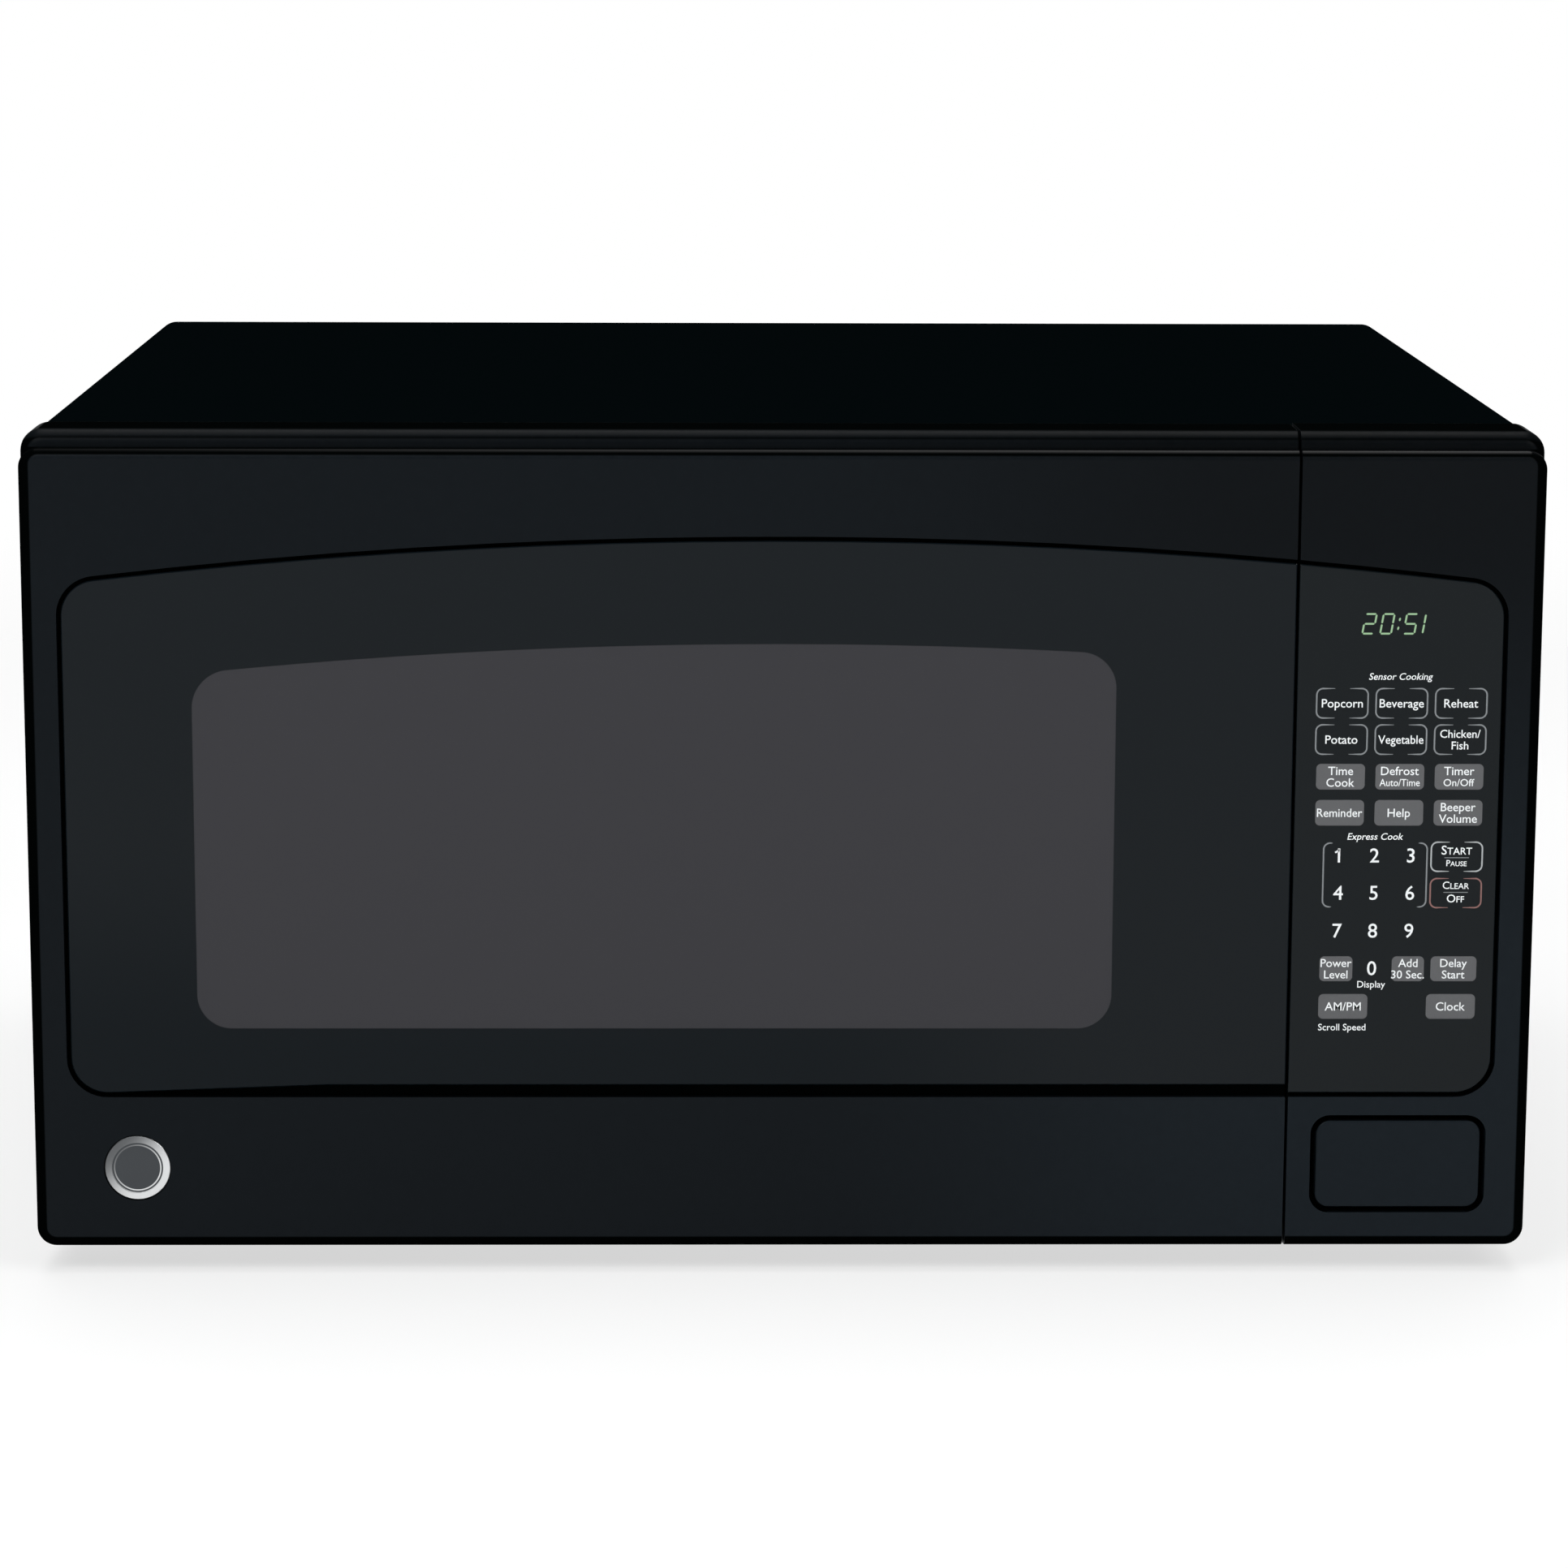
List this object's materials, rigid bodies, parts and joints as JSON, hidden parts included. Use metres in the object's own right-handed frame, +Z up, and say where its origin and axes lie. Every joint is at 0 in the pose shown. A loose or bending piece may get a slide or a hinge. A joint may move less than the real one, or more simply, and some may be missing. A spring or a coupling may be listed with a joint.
{
  "type": "microwave oven",
  "caption": "Black countertop microwave oven with a side-hinged window door, push-button latch, turntable, membrane keypad and cooling fan in a folded steel case",
  "frame": {"origin": "on the table under the middle of the oven's bounding box", "axes": "+X to the right across the front, +Y to the back, +Z up; the door faces -Y"},
  "size_m": [0.613, 0.502, 0.348],
  "materials": {
    "case_paint": "semi-matte black powder coat",
    "gloss_black": "gloss black moulded plastic",
    "smoked_panel": "smoked clear sheet with a black printed border",
    "printed_overlay": "printed membrane",
    "badge_metal": "bright ring round a satin disc",
    "zinc_steel": "zinc-coated sheet steel",
    "cavity_paint": "pale baked enamel",
    "screen_steel": "black painted perforated sheet",
    "clear_film": "clear plastic sheet",
    "choke_plastic": "matte black plastic",
    "white_nylon": "natural white plastic",
    "foot_plastic": "matte black plastic",
    "tray_glass": "clear pressed glass",
    "mica": "pressed mica sheet",
    "board": "circuit board",
    "display_lens": "dark display block",
    "switch_plastic": "black moulding",
    "laminations": "varnished laminations",
    "winding": "enamelled copper wire",
    "can_metal": "drawn can",
    "bulb_glass": "clear glass bulb",
    "spring_steel": "bright wire"
  },
  "bodies": {
    "chassis": {"outer_case": "case_paint", "control_panel_bezel": "gloss_black", "keypad_overlay": "printed_overlay", "hinge_lower": "zinc_steel", "hinge_upper": "zinc_steel", "hinge_screws": "zinc_steel", "lever_pin": "zinc_steel", "latch_board": "white_nylon", "interlock_switches": "switch_plastic", "control_board": "board", "display_module": "display_lens", "cavity_front_plate": "cavity_paint", "oven_cavity": "cavity_paint", "waveguide": "zinc_steel", "waveguide_cover": "mica", "magnetron": "zinc_steel", "thermal_cutouts": "switch_plastic", "transformer_core": "laminations", "transformer_windings": "winding", "hv_capacitor": "can_metal", "capacitor_clamp": "zinc_steel", "hv_diode": "switch_plastic", "fan_shroud": "zinc_steel", "fan_motor": "laminations", "air_duct": "white_nylon", "turntable_motor": "zinc_steel", "cavity_lamp": "bulb_glass", "lamp_holder": "white_nylon", "line_filter_board": "board", "base_plate": "zinc_steel", "rear_panel": "zinc_steel", "feet": "foot_plastic", "case_screws": "zinc_steel", "cord_gland": "switch_plastic"},
    "door": {"door_shell": "gloss_black", "window_panel": "smoked_panel", "badge": "badge_metal", "door_inner_frame": "zinc_steel", "door_screen": "screen_steel", "inner_window_film": "clear_film", "choke_cover": "choke_plastic", "hinge_bushes": "white_nylon"},
    "latch_slide": {"latch_hook_plate": "white_nylon", "latch_spring": "spring_steel"},
    "button": {"release_button": "gloss_black"},
    "lever": {"release_lever": "white_nylon"},
    "turntable": {"glass_tray": "tray_glass", "turntable_coupler": "white_nylon", "turntable_shaft": "white_nylon"},
    "roller_carrier": {"roller_ring": "white_nylon"},
    "roller_1": {"roller_1": "white_nylon"},
    "roller_2": {"roller_2": "white_nylon"},
    "roller_3": {"roller_3": "white_nylon"},
    "fan": {"fan_blade": "white_nylon", "fan_shaft": "zinc_steel"}
  },
  "joints": [
    {"name": "door_swing", "type": "hinge", "parent": "chassis", "child": "door", "pos_m": [-0.298, -0.227, 0.1795], "axis": [0, 0, -1], "range_deg": [0, 105]},
    {"name": "button_push", "type": "slide", "parent": "chassis", "child": "button", "axis": [0, 1, 0], "range_m": [0, 0.006], "stiffness_N_per_m": 400},
    {"name": "lever_rock", "type": "hinge", "parent": "chassis", "child": "lever", "pos_m": [0.19, -0.206, 0.0671], "axis": [1, 0, 0], "range_deg": [0, 11.5]},
    {"name": "hook_lift", "type": "slide", "parent": "door", "child": "latch_slide", "axis": [0, 0, 1], "range_m": [0, 0.004], "deforming": ["latch_spring"]},
    {"name": "turntable_spin", "type": "hinge", "parent": "chassis", "child": "turntable", "pos_m": [-0.0521, 0.0105, 0.0604], "axis": [0, 0, 1], "continuous": true},
    {"name": "ring_spin", "type": "hinge", "parent": "chassis", "child": "roller_carrier", "pos_m": [-0.0521, 0.0105, 0.0511], "axis": [0, 0, 1], "continuous": true},
    {"name": "fan_spin", "type": "hinge", "parent": "chassis", "child": "fan", "pos_m": [0.23425, 0.1702, 0.1658], "axis": [0, 1, 0], "continuous": true},
    {"name": "roller_1_spin", "type": "hinge", "parent": "roller_carrier", "child": "roller_1", "pos_m": [-0.0521, 0.1285, 0.0511], "axis": [0, 1, 0], "continuous": true},
    {"name": "roller_2_spin", "type": "hinge", "parent": "roller_carrier", "child": "roller_2", "pos_m": [-0.15429, -0.0485, 0.0511], "axis": [-0.866, -0.5, 0], "continuous": true},
    {"name": "roller_3_spin", "type": "hinge", "parent": "roller_carrier", "child": "roller_3", "pos_m": [0.05009, -0.0485, 0.0511], "axis": [0.866, -0.5, 0], "continuous": true}
  ],
  "couplings": [
    {"joint": "lever_rock", "follows": "button_push", "rad_per_m": 33.333},
    {"joint": "hook_lift", "follows": "button_push", "ratio": 0.6666},
    {"joint": "ring_spin", "follows": "turntable_spin", "ratio": 0.5},
    {"joint": "roller_1_spin", "follows": "turntable_spin", "ratio": -6.5556},
    {"joint": "roller_2_spin", "follows": "turntable_spin", "ratio": -6.5556},
    {"joint": "roller_3_spin", "follows": "turntable_spin", "ratio": -6.5556}
  ]
}
